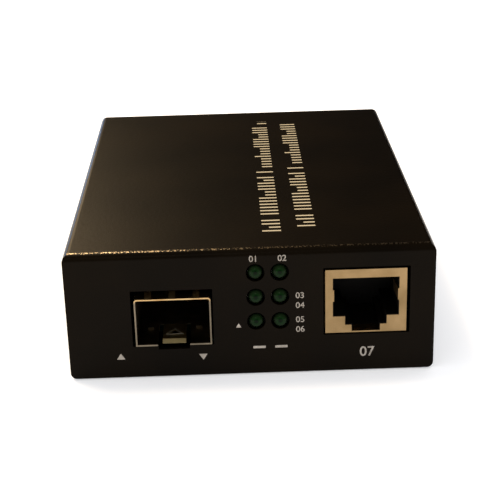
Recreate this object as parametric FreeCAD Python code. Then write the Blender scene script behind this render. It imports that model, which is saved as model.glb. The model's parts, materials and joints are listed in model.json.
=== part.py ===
import FreeCAD, Part
import math
import os
from FreeCAD import Vector

# Fibre media converter: a small folded steel case that holds one circuit board.
# At the front are a cage for a plug-in optical module, a shielded network socket and
# six indicator lamps. At the rear is a round power inlet.
#
# Millimetres. The origin is on the table, under the middle of the case. +X points right
# as seen from the front, +Y to the rear and +Z up.

# ---------------------------------------------------------------- case
CASE_WIDTH = 70.5
CASE_DEPTH = 94.0
CASE_HEIGHT = 26.0
SHEET = 1.0                 # steel of the cover and of the tray
BEND_RADIUS = 1.5           # outside of every fold
FREE_CORNER = 1.2           # rounded corners of the flanges
COVER_LIFT = 0.2            # the cover ends this far above the table
NEST_GAP = 0.15             # between the cover and the tray inside it
SEAM = 0.2                  # open corner between two flanges of one sheet
REAR_INSET = 0.5            # the tray's rear flange stands inside the cover's end
LIP_HEIGHT = 7.0            # side lips of the tray

VENT_COUNT = 7
VENT_PITCH = 4.4
VENT_WIDTH = 1.4
VENT_HEIGHT = 9.0
VENT_BELOW_TOP = 11.0       # of their middles
VENT_MIDDLE_Y = 6.0

# ---------------------------------------------------------------- screws and standoffs
SCREW_RADIUS = 1.5
THREAD_GAP = 0.05           # drawn between a plain shank and its hole
CASE_SCREW_LENGTH = 4.0
CASE_SCREW_SLOPE = 1.1      # countersunk head: widening over its depth
CASE_SCREW_Z = 3.8
CASE_SCREW_INSET = 15.0     # from the ends of the case
CROSS_SLOT_WIDTH = 0.6
CROSS_SLOT_DEPTH = 0.5
CROSS_SLOT_SPAN = 0.62      # share of the head that the driver cross takes
BOARD_SCREW_LENGTH = 5.0
PAN_HEAD_RADIUS = 2.7
PAN_HEAD_HEIGHT = 1.8
DRIVER_SLOT_WIDTH = 0.7
DRIVER_SLOT_DEPTH = 0.8
STANDOFF_HEIGHT = 4.5
STANDOFF_RADIUS = 2.6       # to the corners of its hexagon

# ---------------------------------------------------------------- circuit board
BOARD_THICKNESS = 1.6
BOARD_SIDE_GAP = 2.1        # to the lips of the tray
BOARD_FRONT_GAP = 0.5       # to the front flange
BOARD_REAR_GAP = 1.0        # to the rear flange
BOARD_HOLE_INSET = 4.0      # of the screw holes, from the side edges
BOARD_HOLE_FRONT = 5.5      # of the left screw hole, from the front edge
BOARD_HOLE_REAR = 4.5       # of the rear screw holes, from the rear edge
SCREW_BEHIND_JACK = 6.0
LEG_SLOT_GAP = 0.2          # round each leg that goes through the board

# ---------------------------------------------------------------- cage for the optical module
CAGE_INSET = 20.35          # of its middle, from the left side of the case
CAGE_WIDTH = 14.6
CAGE_HEIGHT = 9.8
CAGE_LENGTH = 48.7
CAGE_SHEET = 0.3
CAGE_BEND = 0.6
CAGE_PROUD = 0.8            # stands out of the front flange
CAGE_WINDOW_LEFT = 0.65     # gaps between the cage and its window
CAGE_WINDOW_RIGHT = 0.35
CAGE_WINDOW_TOP = 1.4
CAGE_WINDOW_BOTTOM = 0.4
CAGE_NOTCH_WIDTH = 6.0      # relief under the latch
CAGE_NOTCH_DEPTH = 0.75
CAGE_REAR_OPEN = 4.0        # the rear wall ends this far above the board
CAGE_LEG_WIDTH = 0.9
CAGE_LEG_PITCH = 14.0
CAGE_LEG_COUNT = 3          # along each side

FINGER_COUNT = 3            # earthing fingers along the top
FINGER_PITCH = 4.57
FINGER_WIDTH = 1.3
FINGER_SHEET = 0.2
FINGER_LENGTH = 4.2
FINGER_TOP_RISE = 1.1       # of the middle of each finger, over its ends
FINGER_SIDE_RISE = 0.25
FINGER_SIDE_COUNT = 2
FINGER_SIDE_PITCH = 4.0

GUIDE_TAB_WIDTH = 1.15      # two tabs bent up from the cage floor
GUIDE_TAB_HEIGHT = 0.5
GUIDE_TAB_COUNT = 2
GUIDE_TAB_SPREAD = 9.5
GUIDE_TAB_DEPTH = 6.0       # behind the front flange

LATCH_WIDTH = 4.6
LATCH_SLOT_WIDTH = 6.2      # opening in the cage floor round the latch
LATCH_ROOT = 8.5            # where the latch springs from, behind the front flange
LATCH_ROOT_GAP = 0.1
LATCH_FOLD = 1.85           # where its nose bends down, behind the front flange
LATCH_NOSE_ANGLE = 50.0
LATCH_NOSE_LENGTH = 0.9
LATCH_HOLE_WIDTH = 3.05     # triangle that catches the module
LATCH_HOLE_LENGTH = 2.0
LATCH_HOLE_FRONT = 3.65     # behind the front flange
LATCH_BOARD_GAP = 0.5       # round the latch, in the board

# ---------------------------------------------------------------- connector inside the cage
EDGE_CONNECTOR_WIDTH = 11.8
EDGE_CONNECTOR_LENGTH = 8.0
EDGE_CONNECTOR_HEIGHT = 5.6
EDGE_CONNECTOR_BACK = 3.0   # to the rear end of the cage
EDGE_SLOT_WIDTH = 9.8
EDGE_SLOT_HEIGHT = 1.6
EDGE_SLOT_DEPTH = 6.0
EDGE_SLOT_Z = 3.2           # above the board
EDGE_CONTACT_COUNT = 10     # in each of the two rows
EDGE_CONTACT_PITCH = 0.8
EDGE_CONTACT_WIDTH = 0.3
EDGE_CONTACT_SHEET = 0.2
EDGE_CONTACT_START = 1.0    # behind the connector's mouth
EDGE_CONTACT_EXIT = 0.5     # of the lower row, behind the connector
EDGE_CONTACT_STEP = 0.7     # further out for the upper row

# ---------------------------------------------------------------- network socket
JACK_INSET = 13.25          # of its middle, from the right side of the case
JACK_WIDTH = 15.56
JACK_HEIGHT = 13.1
JACK_LENGTH = 21.3
JACK_SHEET = 0.3
JACK_PROUD = 0.3
JACK_FOOT = 1.3             # height of the socket above the board
JACK_WINDOW_LEFT = 0.32
JACK_WINDOW_RIGHT = 0.67
JACK_WINDOW_TOP = 0.3
JACK_WINDOW_BOTTOM = 0.45
PLUG_WIDTH = 12.68          # opening for the plug
PLUG_HEIGHT = 7.9
PLUG_TOP = 1.77             # below the top of the socket
PLUG_DEPTH = 12.5
SHOULDER_WIDTH = 8.0        # step under the opening
SHOULDER_HEIGHT = 1.8
CLIP_WIDTH = 5.45           # channel for the plug's clip
CAVITY_LIP = 0.12           # the plastic stands inside the steel opening
JACK_STRIP_LENGTH = 3.0     # steel folded under the front
SIDE_SPRING_HEIGHT = 2.4
SIDE_SPRING_LENGTH = 5.0
SIDE_SPRING_BOW = 0.5
SIDE_SPRING_Z = 3.1         # its lower edge, above the floor of the plug opening
JACK_LEG_WIDTH = 1.6
JACK_LEG_BACK = 12.0        # behind the socket's face
JACK_RIB_WIDTH = 1.5
JACK_RIB_LENGTH = 3.0
WIRE_COUNT = 8
WIRE_PITCH = 1.02
WIRE_WIDTH = 0.45
WIRE_SHEET = 0.3
WIRE_NOSE = 0.5             # of the fold at the wires' front, across and down
WIRE_SLOPE = 25.0
WIRE_FREE_LENGTH = 7.5
WIRE_ROOF = 0.35            # above the plug opening
WIRE_FRONT = 2.0            # behind the socket's face
WIRE_REAR = 2.0             # ahead of the socket's rear

# ---------------------------------------------------------------- indicator lamps
LED_COLUMN_PITCH = 4.63
LED_TOP_INSET = 4.67        # of the top row, below the top of the case
LED_BOTTOM_RISE = 4.17      # of the bottom row, above the board
LED_RADIUS = 1.5
LED_HOLE_RADIUS = 1.78
LED_PROUD = 0.5
LED_LENGTH = 5.3
LED_BEVEL = 0.75            # of its front rim
LED_TAIL = 1.0              # behind the holder
LED_BORE_GAP = 0.1
LED_HOLDER_GAP = 0.6        # behind the front flange
LED_HOLDER_WALL = 0.8
LAMP_LEAD_COUNT = 2
LEAD_SPREAD = 2.54
LEAD_SIZE = 0.5
LEAD_FIRST_EXIT = 1.6       # of the lowest row, behind the lamps
LEAD_ROW_STEP = 1.3

# ---------------------------------------------------------------- power inlet
INLET_INSET = 23.25         # of its axis, from the right side of the case
INLET_WIDTH = 9.0
INLET_LENGTH = 14.0
INLET_HEIGHT = 11.0
INLET_AXIS_HEIGHT = 6.5
INLET_BORE_RADIUS = 3.2
INLET_BORE_DEPTH = 9.5
INLET_FACE_GAP = 0.1
INLET_HOLE_RADIUS = 4.0
INLET_PIN_RADIUS = 1.0
INLET_PIN_LENGTH = 8.6
INLET_TAIL = 2.0            # of the pin, behind the bore
INLET_TAIL_RADIUS = 0.8
INLET_ROUND = 1.5
SPRING_SHEET = 0.3
SPRING_WIDTH = 2.4
SPRING_BOW = 0.5

# ---------------------------------------------------------------- parts on the board
CHIP_SIZE = 14.0
CHIP_HEIGHT = 1.4
CHIP_LEAD_COUNT = 8         # on each side
CHIP_LEAD_PITCH = 1.5
CHIP_LEFT_OF_JACK = 12.0    # between their middles
MEMORY_LENGTH = 4.9
MEMORY_WIDTH = 3.9
MEMORY_HEIGHT = 1.5
MEMORY_LEAD_COUNT = 4       # on each side
MEMORY_LEAD_PITCH = 1.27
MEMORY_GAP = 1.2            # behind the converter chip's leads
LEAD_WIDTH = 0.4
LEAD_THICKNESS = 0.2
LEAD_REACH = 1.2            # of a chip's leads, from its side
TRANSFORMER_LENGTH = 15.2
TRANSFORMER_WIDTH = 10.0
TRANSFORMER_HEIGHT = 5.8
TRANSFORMER_BEHIND_JACK = 3.0
TRANSFORMER_LEFT_OF_JACK = 9.0
TRANSFORMER_LEAD_COUNT = 8
CRYSTAL_LENGTH = 11.0
CRYSTAL_WIDTH = 4.6
CRYSTAL_HEIGHT = 3.5
CRYSTAL_RIM = 0.45
CRYSTAL_RIM_HEIGHT = 0.5
CRYSTAL_END_FLAT = 0.1      # left between the rounds at its ends
CRYSTAL_RIGHT_OF_CHIP = 15.0
INDUCTOR_SIZE = 7.0
INDUCTOR_HEIGHT = 4.2
INDUCTOR_CORNER = 1.5
INDUCTOR_CORE_RADIUS = 2.4
INDUCTOR_CORE_HEIGHT = 4.6
INDUCTOR_INSET = 12.0       # of its middle, from the board's left edge
INDUCTOR_BEHIND_CAGE = 8.0
REGULATOR_LENGTH = 6.5
REGULATOR_WIDTH = 3.5
REGULATOR_HEIGHT = 1.6
REGULATOR_TAB_WIDTH = 3.0
REGULATOR_TAB_LENGTH = 1.7
REGULATOR_LEG_COUNT = 3
REGULATOR_LEG_WIDTH = 0.8
REGULATOR_SPACING = 9.0     # from the inductor
REGULATOR_BEHIND_CAGE = 9.0
INPUT_CAN_RADIUS = 4.0
INPUT_CAN_HEIGHT = 11.5
OUTPUT_CAN_RADIUS = 3.15
OUTPUT_CAN_HEIGHT = 7.7
CAN_FOOT_HEIGHT = 1.0       # square plastic foot under each can
CAN_FOOT_EDGE = 0.3         # by which it is wider than the can
CAN_FOOT_BEVEL = 1.5        # of its two front corners
CAN_INSET = 13.0            # from the board's left edge
CAN_SPACING = 10.0
CAN_REAR = 17.0             # from the board's rear edge
DIODE_LENGTH = 4.3
DIODE_WIDTH = 2.7
DIODE_HEIGHT = 2.2
DIODE_SIDE = 5.0            # beside the power inlet
SMALL_PART_LENGTH = 1.6
SMALL_PART_WIDTH = 0.8
SMALL_PART_HEIGHT = 0.7
SMALL_PART_PITCH = 2.4
SMALL_PART_COUNT = 6        # in each row
SMALL_ROW_GAP = 3.0         # from the chip's leads

# ---------------------------------------------------------------- derived planes
SIDE = CASE_WIDTH / 2
FRONT = -CASE_DEPTH / 2
REAR = CASE_DEPTH / 2
FLANGE_BACK = FRONT + SHEET
CAGE_X = -SIDE + CAGE_INSET
JACK_X = SIDE - JACK_INSET
INLET_X = SIDE - INLET_INSET
TRAY_SIDE = SIDE - SHEET - NEST_GAP
TRAY_FRONT = FLANGE_BACK + NEST_GAP
TRAY_REAR = REAR - REAR_INSET
TRAY_TOP = CASE_HEIGHT - SHEET - NEST_GAP
REAR_WALL = TRAY_REAR - SHEET
LIP_INSIDE = TRAY_SIDE - SHEET
BOARD_SIDE = LIP_INSIDE - BOARD_SIDE_GAP
BOARD_FRONT = FLANGE_BACK + BOARD_FRONT_GAP
BOARD_REAR = REAR_WALL - BOARD_REAR_GAP
BOARD_BOTTOM = SHEET + STANDOFF_HEIGHT
BOARD_TOP = BOARD_BOTTOM + BOARD_THICKNESS
CAGE_LEFT = CAGE_X - CAGE_WIDTH / 2
CAGE_RIGHT = CAGE_X + CAGE_WIDTH / 2
CAGE_FRONT = FRONT - CAGE_PROUD
CAGE_REAR = CAGE_FRONT + CAGE_LENGTH
CAGE_TOP = BOARD_TOP + CAGE_HEIGHT
JACK_LEFT = JACK_X - JACK_WIDTH / 2
JACK_RIGHT = JACK_X + JACK_WIDTH / 2
JACK_FRONT = FRONT - JACK_PROUD
JACK_REAR = JACK_FRONT + JACK_LENGTH
JACK_BOTTOM = BOARD_TOP + JACK_FOOT
JACK_TOP = JACK_BOTTOM + JACK_HEIGHT
PLUG_CEILING = JACK_TOP - PLUG_TOP
PLUG_FLOOR = PLUG_CEILING - PLUG_HEIGHT
SHOULDER_FLOOR = PLUG_FLOOR - SHOULDER_HEIGHT
INLET_FACE = REAR_WALL - INLET_FACE_GAP
INLET_Z = BOARD_TOP + INLET_AXIS_HEIGHT
INLET_BORE_END = INLET_FACE - INLET_BORE_DEPTH
TRANSFORMER_X = JACK_X - TRANSFORMER_LEFT_OF_JACK
TRANSFORMER_Y = JACK_REAR + TRANSFORMER_BEHIND_JACK + TRANSFORMER_WIDTH / 2
TRANSFORMER_REAR = TRANSFORMER_Y + TRANSFORMER_WIDTH / 2 + LEAD_REACH
CHIP_REACH = CHIP_SIZE / 2 + LEAD_REACH
CHIP_X = JACK_X - CHIP_LEFT_OF_JACK
CHIP_Y = (TRANSFORMER_REAR + INLET_FACE - INLET_LENGTH) / 2
MEMORY_Y = CHIP_Y + CHIP_REACH + MEMORY_GAP + MEMORY_LENGTH / 2
CRYSTAL_X = CHIP_X + CRYSTAL_RIGHT_OF_CHIP
INDUCTOR_X = -BOARD_SIDE + INDUCTOR_INSET
INDUCTOR_Y = CAGE_REAR + INDUCTOR_BEHIND_CAGE
REGULATOR_X = INDUCTOR_X + REGULATOR_SPACING
REGULATOR_Y = CAGE_REAR + REGULATOR_BEHIND_CAGE
CAN_X = -BOARD_SIDE + CAN_INSET
EDGE_CONNECTOR_REAR = CAGE_REAR - EDGE_CONNECTOR_BACK
EDGE_CONNECTOR_FRONT = EDGE_CONNECTOR_REAR - EDGE_CONNECTOR_LENGTH
LED_TIP = FRONT - LED_PROUD
LED_BACK = LED_TIP + LED_LENGTH
LED_X = (CAGE_RIGHT + JACK_LEFT) / 2
LED_TOP_ROW = CASE_HEIGHT - LED_TOP_INSET
LED_BOTTOM_ROW = BOARD_TOP + LED_BOTTOM_RISE
LED_ROWS = [LED_TOP_ROW, (LED_TOP_ROW + LED_BOTTOM_ROW) / 2, LED_BOTTOM_ROW]
LED_COLUMNS = [LED_X - LED_COLUMN_PITCH / 2, LED_X + LED_COLUMN_PITCH / 2]
THROUGH = 5.0               # how far a cutting tool passes the faces that it opens


# ---------------------------------------------------------------- shapes
def box(x, y, z):
    """A block between the two values of each axis."""
    corner = Vector(x[0], y[0], z[0])
    return Part.makeBox(x[1] - x[0], y[1] - y[0], z[1] - z[0], corner)


def centred(middle, size):
    """The two ends of a span of that size about its middle."""
    return (middle - size / 2, middle + size / 2)


def spread(count, pitch, middle=0.0):
    """Evenly spaced places about a middle."""
    return [middle + (index - (count - 1) / 2) * pitch for index in range(count)]


def rod(radius, start, direction, length):
    return Part.makeCylinder(radius, length, start, direction)


def join(shapes):
    """One solid out of several that touch or overlap."""
    return shapes[0].multiFuse(shapes[1:]).removeSplitter()


def group(shapes):
    return Part.makeCompound(shapes)


def round_edges(shape, radius, wanted):
    """Round each straight edge whose direction and middle the test accepts."""
    chosen = []
    for edge in shape.Edges:
        if edge.Curve.TypeId != "Part::GeomLine":
            continue
        if wanted(edge.Curve.Direction, edge.CenterOfMass):
            chosen.append(edge)
    return shape.makeFillet(radius, chosen)


def along_x(direction):
    return abs(direction.x) > 0.999


def along_y(direction):
    return abs(direction.y) > 0.999


def along_z(direction):
    return abs(direction.z) > 0.999


def near(value, target):
    return abs(value - target) < 0.01


def in_plane(plane, level, u, v):
    """Point (u, v) of the named plane, at that level of the third axis."""
    if plane == "yz":
        return Vector(level, u, v)
    if plane == "xz":
        return Vector(u, level, v)
    return Vector(u, v, level)


def prism(plane, span, outline):
    """A straight-sided outline in a plane, drawn out between the two levels."""
    points = [in_plane(plane, span[0], u, v) for u, v in outline]
    face = Part.Face(Part.makePolygon(points + [points[0]]))
    reach = in_plane(plane, span[1], 0, 0) - in_plane(plane, span[0], 0, 0)
    return face.extrude(reach)


def folded(plane, span, thickness, path):
    """A strip with sharp corners that follows a path of (u, v) points."""
    headings = [math.atan2(end[1] - start[1], end[0] - start[0]) for start, end in zip(path, path[1:])]
    left, right = [], []
    for index, (u, v) in enumerate(path):
        before = headings[max(index - 1, 0)]
        after = headings[min(index, len(headings) - 1)]
        turn = math.remainder(after - before, 2 * math.pi)
        reach = thickness / 2 / math.cos(turn / 2)
        across = before + turn / 2
        left.append((u - reach * math.sin(across), v + reach * math.cos(across)))
        right.append((u + reach * math.sin(across), v - reach * math.cos(across)))
    return prism(plane, span, left + right[::-1])


# ---------------------------------------------------------------- places that pieces share
def case_screw_places():
    """Side (+1 or -1) and Y of each screw that holds the cover to the tray."""
    ends = (FRONT + CASE_SCREW_INSET, REAR - CASE_SCREW_INSET)
    return [(side, y) for side in (-1, 1) for y in ends]


def board_hole_places():
    x = BOARD_SIDE - BOARD_HOLE_INSET
    rear = BOARD_REAR - BOARD_HOLE_REAR
    return [
        (-x, BOARD_FRONT + BOARD_HOLE_FRONT),
        (x, JACK_REAR + SCREW_BEHIND_JACK),
        (-x, rear),
        (x, rear),
    ]


def cage_legs():
    """The pins of the cage, as spans in X and Y."""
    legs = []
    for y in spread(CAGE_LEG_COUNT, CAGE_LEG_PITCH, (BOARD_FRONT + CAGE_REAR) / 2):
        legs.append(((CAGE_LEFT, CAGE_LEFT + CAGE_SHEET), centred(y, CAGE_LEG_WIDTH)))
        legs.append(((CAGE_RIGHT - CAGE_SHEET, CAGE_RIGHT), centred(y, CAGE_LEG_WIDTH)))
    return legs


def jack_legs():
    """The two pegs of the network socket's shield, as spans in X and Y."""
    y = centred(JACK_FRONT + JACK_LEG_BACK, JACK_LEG_WIDTH)
    return [
        ((JACK_LEFT, JACK_LEFT + JACK_SHEET), y),
        ((JACK_RIGHT - JACK_SHEET, JACK_RIGHT), y),
    ]


def plug_opening(y, lip, bottom):
    """The stepped opening for the plug and its clip, smaller by the lip all round."""
    x = JACK_X
    wide = PLUG_WIDTH / 2 - lip
    middle = SHOULDER_WIDTH / 2 - lip
    narrow = CLIP_WIDTH / 2 - lip
    ceiling = PLUG_CEILING - lip
    floor = PLUG_FLOOR + lip
    step = SHOULDER_FLOOR + lip
    outline = [
        (x - wide, ceiling), (x + wide, ceiling), (x + wide, floor), (x + middle, floor),
        (x + middle, step), (x + narrow, step), (x + narrow, bottom), (x - narrow, bottom),
        (x - narrow, step), (x - middle, step), (x - middle, floor), (x - wide, floor),
    ]
    return prism("xz", y, outline)


def latch_span(width):
    return centred(CAGE_X, width)


# ---------------------------------------------------------------- case
def front_openings():
    """What is cut out of the front flange."""
    y = (FRONT - THROUGH, FLANGE_BACK + SHEET)
    window = box(
        (CAGE_LEFT - CAGE_WINDOW_LEFT, CAGE_RIGHT + CAGE_WINDOW_RIGHT), y,
        (BOARD_TOP - CAGE_WINDOW_BOTTOM, CAGE_TOP + CAGE_WINDOW_TOP))
    notch_floor = BOARD_TOP - CAGE_WINDOW_BOTTOM - CAGE_NOTCH_DEPTH
    notch = box(latch_span(CAGE_NOTCH_WIDTH), y, (notch_floor, BOARD_TOP))
    socket = box(
        (JACK_LEFT - JACK_WINDOW_LEFT, JACK_RIGHT + JACK_WINDOW_RIGHT), y,
        (JACK_BOTTOM - JACK_WINDOW_BOTTOM, JACK_TOP + JACK_WINDOW_TOP))
    tools = [window, notch, socket]
    for x in LED_COLUMNS:
        for z in LED_ROWS:
            tools.append(rod(LED_HOLE_RADIUS, Vector(x, y[0], z), Vector(0, 1, 0), y[1] - y[0]))
    return tools


def vent_slots():
    """Upright slots through both side flanges."""
    x = (-SIDE - THROUGH, SIDE + THROUGH)
    z = centred(CASE_HEIGHT - VENT_BELOW_TOP, VENT_HEIGHT)
    return [box(x, centred(y, VENT_WIDTH), z) for y in spread(VENT_COUNT, VENT_PITCH, VENT_MIDDLE_Y)]


def countersink(side, y):
    """The cone that a case screw's head fills, out of the cover's side flange."""
    start = Vector(side * (SIDE - SHEET), y, CASE_SCREW_Z)
    wide = SCREW_RADIUS + CASE_SCREW_SLOPE
    return Part.makeCone(SCREW_RADIUS, wide, SHEET, start, Vector(side, 0, 0))


def top_cover():
    """Top, full-width front flange and two side flanges, folded from one sheet."""
    inside = BEND_RADIUS - SHEET

    def folds(top, front):
        def wanted(direction, place):
            if not near(place.z, top):
                return False
            return along_y(direction) or (along_x(direction) and near(place.y, front))
        return wanted

    outer = box((-SIDE, SIDE), (FRONT, REAR), (COVER_LIFT, CASE_HEIGHT))
    outer = round_edges(outer, BEND_RADIUS, folds(CASE_HEIGHT, FRONT))
    ceiling = CASE_HEIGHT - SHEET
    hollow = box((SHEET - SIDE, SIDE - SHEET), (FLANGE_BACK, REAR + THROUGH), (-THROUGH, ceiling))
    hollow = round_edges(hollow, inside, folds(ceiling, FLANGE_BACK))
    cover = outer.cut(hollow)

    seam_y = (FLANGE_BACK, FLANGE_BACK + SEAM)
    seam_z = (-THROUGH, CASE_HEIGHT - BEND_RADIUS)
    seams = [
        box((-SIDE - THROUGH, SHEET - SIDE), seam_y, seam_z),
        box((SIDE - SHEET, SIDE + THROUGH), seam_y, seam_z),
    ]
    cover = cover.cut(seams)

    def flange_corner(direction, place):
        if not near(place.z, COVER_LIFT):
            return False
        at_front = along_y(direction) and place.y < FLANGE_BACK and near(abs(place.x), SIDE)
        at_side = along_x(direction) and place.y > FLANGE_BACK and abs(place.x) > SIDE - SHEET
        return at_front or at_side

    cover = round_edges(cover, FREE_CORNER, flange_corner)
    cones = [countersink(side, y) for side, y in case_screw_places()]
    return cover.cut(front_openings() + vent_slots() + cones)


def base_tray():
    """Bottom, rear flange and two low side lips, folded from one sheet."""
    inside = BEND_RADIUS - SHEET

    def folds(bottom, rear):
        def wanted(direction, place):
            if not near(place.z, bottom):
                return False
            return along_y(direction) or (along_x(direction) and near(place.y, rear))
        return wanted

    outer = box((-TRAY_SIDE, TRAY_SIDE), (TRAY_FRONT, TRAY_REAR), (0, TRAY_TOP))
    outer = round_edges(outer, BEND_RADIUS, folds(0, TRAY_REAR))
    hollow = box((-LIP_INSIDE, LIP_INSIDE), (TRAY_FRONT - THROUGH, REAR_WALL), (SHEET, CASE_HEIGHT))
    hollow = round_edges(hollow, inside, folds(SHEET, REAR_WALL))
    above_lips = box((-SIDE, SIDE), (TRAY_FRONT - THROUGH, REAR_WALL), (LIP_HEIGHT, CASE_HEIGHT))
    seam_y = (REAR_WALL - SEAM, REAR_WALL)
    seam_z = (BEND_RADIUS, LIP_HEIGHT + SHEET)
    seams = [
        box((-SIDE, -LIP_INSIDE), seam_y, seam_z),
        box((LIP_INSIDE, SIDE), seam_y, seam_z),
    ]
    tray = outer.cut([hollow, above_lips] + seams)

    def flange_corner(direction, place):
        on_lip = along_x(direction) and near(place.z, LIP_HEIGHT) and abs(place.x) > LIP_INSIDE
        on_rear = along_y(direction) and near(place.z, TRAY_TOP) and near(abs(place.x), TRAY_SIDE)
        return on_lip or on_rear

    tray = round_edges(tray, FREE_CORNER, flange_corner)
    tools = []
    for side, y in case_screw_places():
        start = Vector(side * (LIP_INSIDE - SHEET), y, CASE_SCREW_Z)
        tools.append(rod(SCREW_RADIUS + THREAD_GAP, start, Vector(side, 0, 0), 2 * SHEET + NEST_GAP))
    hole = Vector(INLET_X, REAR_WALL - SHEET, INLET_Z)
    tools.append(rod(INLET_HOLE_RADIUS, hole, Vector(0, 1, 0), 2 * SHEET + REAR_INSET))
    return tray.cut(tools)


def case_screws():
    """Countersunk screws, flush with the side flanges."""
    screws = []
    for side, y in case_screw_places():
        outward = Vector(side, 0, 0)
        shank_start = Vector(side * (SIDE - CASE_SCREW_LENGTH), y, CASE_SCREW_Z)
        shank = rod(SCREW_RADIUS, shank_start, outward, CASE_SCREW_LENGTH - SHEET)
        screw = join([shank, countersink(side, y)])
        reach = CROSS_SLOT_SPAN * (SCREW_RADIUS + CASE_SCREW_SLOPE)
        deep = sorted((side * (SIDE - CROSS_SLOT_DEPTH), side * (SIDE + THROUGH)))
        upright = box(deep, centred(y, CROSS_SLOT_WIDTH), centred(CASE_SCREW_Z, 2 * reach))
        level = box(deep, centred(y, 2 * reach), centred(CASE_SCREW_Z, CROSS_SLOT_WIDTH))
        screws.append(screw.cut([upright, level]))
    return group(screws)


# ---------------------------------------------------------------- board and its fixings
def circuit_board():
    board = box((-BOARD_SIDE, BOARD_SIDE), (BOARD_FRONT, BOARD_REAR), (BOARD_BOTTOM, BOARD_TOP))
    depth = (BOARD_BOTTOM - THROUGH, BOARD_TOP + THROUGH)
    tools = []
    for x, y in board_hole_places():
        tools.append(rod(SCREW_RADIUS + THREAD_GAP, Vector(x, y, depth[0]), Vector(0, 0, 1),
                         depth[1] - depth[0]))
    for leg_x, leg_y in cage_legs() + jack_legs():
        x = (leg_x[0] - LEG_SLOT_GAP, leg_x[1] + LEG_SLOT_GAP)
        y = (leg_y[0] - LEG_SLOT_GAP, leg_y[1] + LEG_SLOT_GAP)
        tools.append(box(x, y, depth))
    latch_rear = FRONT + LATCH_ROOT + LATCH_BOARD_GAP
    tools.append(box(latch_span(LATCH_SLOT_WIDTH + 2 * LATCH_BOARD_GAP),
                     (BOARD_FRONT - THROUGH, latch_rear), depth))
    return board.cut(tools)


def board_standoffs():
    """Hexagonal threaded pillars riveted to the tray."""
    pillars = []
    for x, y in board_hole_places():
        foot = Vector(x, y, SHEET)
        corners = []
        for turn in range(0, 360, 60):
            angle = math.radians(turn)
            corners.append((x + STANDOFF_RADIUS * math.cos(angle), y + STANDOFF_RADIUS * math.sin(angle)))
        pillar = prism("xy", (SHEET, BOARD_BOTTOM), corners)
        bore = rod(SCREW_RADIUS + THREAD_GAP, foot, Vector(0, 0, 1), STANDOFF_HEIGHT)
        pillars.append(pillar.cut(bore))
    return group(pillars)


def board_screws():
    """Slotted screws that hold the board to its standoffs."""
    screws = []
    for x, y in board_hole_places():
        tip = Vector(x, y, BOARD_TOP - BOARD_SCREW_LENGTH)
        shank = rod(SCREW_RADIUS, tip, Vector(0, 0, 1), BOARD_SCREW_LENGTH + PAN_HEAD_HEIGHT / 2)
        head = rod(PAN_HEAD_RADIUS, Vector(x, y, BOARD_TOP), Vector(0, 0, 1), PAN_HEAD_HEIGHT)
        top = BOARD_TOP + PAN_HEAD_HEIGHT
        slot = box(centred(x, 2 * PAN_HEAD_RADIUS), centred(y, DRIVER_SLOT_WIDTH),
                   (top - DRIVER_SLOT_DEPTH, top))
        screws.append(join([shank, head]).cut(slot))
    return group(screws)


# ---------------------------------------------------------------- cage for the optical module
def top_finger(x):
    """A finger folded back over the cage's front edge and raised towards the window."""
    foot = CAGE_TOP - FINGER_SHEET / 2
    path = [(CAGE_FRONT, foot), (CAGE_FRONT + FINGER_LENGTH / 2, foot + FINGER_TOP_RISE),
            (CAGE_FRONT + FINGER_LENGTH, foot)]
    return folded("yz", centred(x, FINGER_WIDTH), FINGER_SHEET, path)


def side_finger(side, z):
    """The same, raised out from one side of the cage."""
    wall = CAGE_X + side * (CAGE_WIDTH - CAGE_SHEET) / 2
    path = [(wall, CAGE_FRONT), (wall + side * FINGER_SIDE_RISE, CAGE_FRONT + FINGER_LENGTH / 2),
            (wall, CAGE_FRONT + FINGER_LENGTH)]
    return folded("xy", centred(z, FINGER_WIDTH), FINGER_SHEET, path)


def sfp_cage_shell():
    """Top, sides and part of the rear, folded from thin sheet, with pins and fingers."""
    def folds(top):
        def wanted(direction, place):
            return along_y(direction) and near(place.z, top)
        return wanted

    outer = box((CAGE_LEFT, CAGE_RIGHT), (CAGE_FRONT, CAGE_REAR), (BOARD_TOP, CAGE_TOP))
    outer = round_edges(outer, CAGE_BEND, folds(CAGE_TOP))
    ceiling = CAGE_TOP - CAGE_SHEET
    hollow = box((CAGE_LEFT + CAGE_SHEET, CAGE_RIGHT - CAGE_SHEET),
                 (CAGE_FRONT - THROUGH, CAGE_REAR - CAGE_SHEET), (BOARD_TOP - THROUGH, ceiling))
    hollow = round_edges(hollow, CAGE_BEND - CAGE_SHEET, folds(ceiling))
    rear_gap = box((CAGE_LEFT + CAGE_SHEET, CAGE_RIGHT - CAGE_SHEET),
                   (CAGE_REAR - 2 * CAGE_SHEET, CAGE_REAR + THROUGH),
                   (BOARD_TOP - THROUGH, BOARD_TOP + CAGE_REAR_OPEN))
    shell = outer.cut([hollow, rear_gap])
    pieces = [shell]
    for x, y in cage_legs():
        pieces.append(box(x, y, (BOARD_BOTTOM, BOARD_TOP + CAGE_SHEET)))
    for x in spread(FINGER_COUNT, FINGER_PITCH, CAGE_X):
        pieces.append(top_finger(x))
    for side in (-1, 1):
        for z in spread(FINGER_SIDE_COUNT, FINGER_SIDE_PITCH, (BOARD_TOP + CAGE_TOP) / 2):
            pieces.append(side_finger(side, z))
    return join(pieces)


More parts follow.
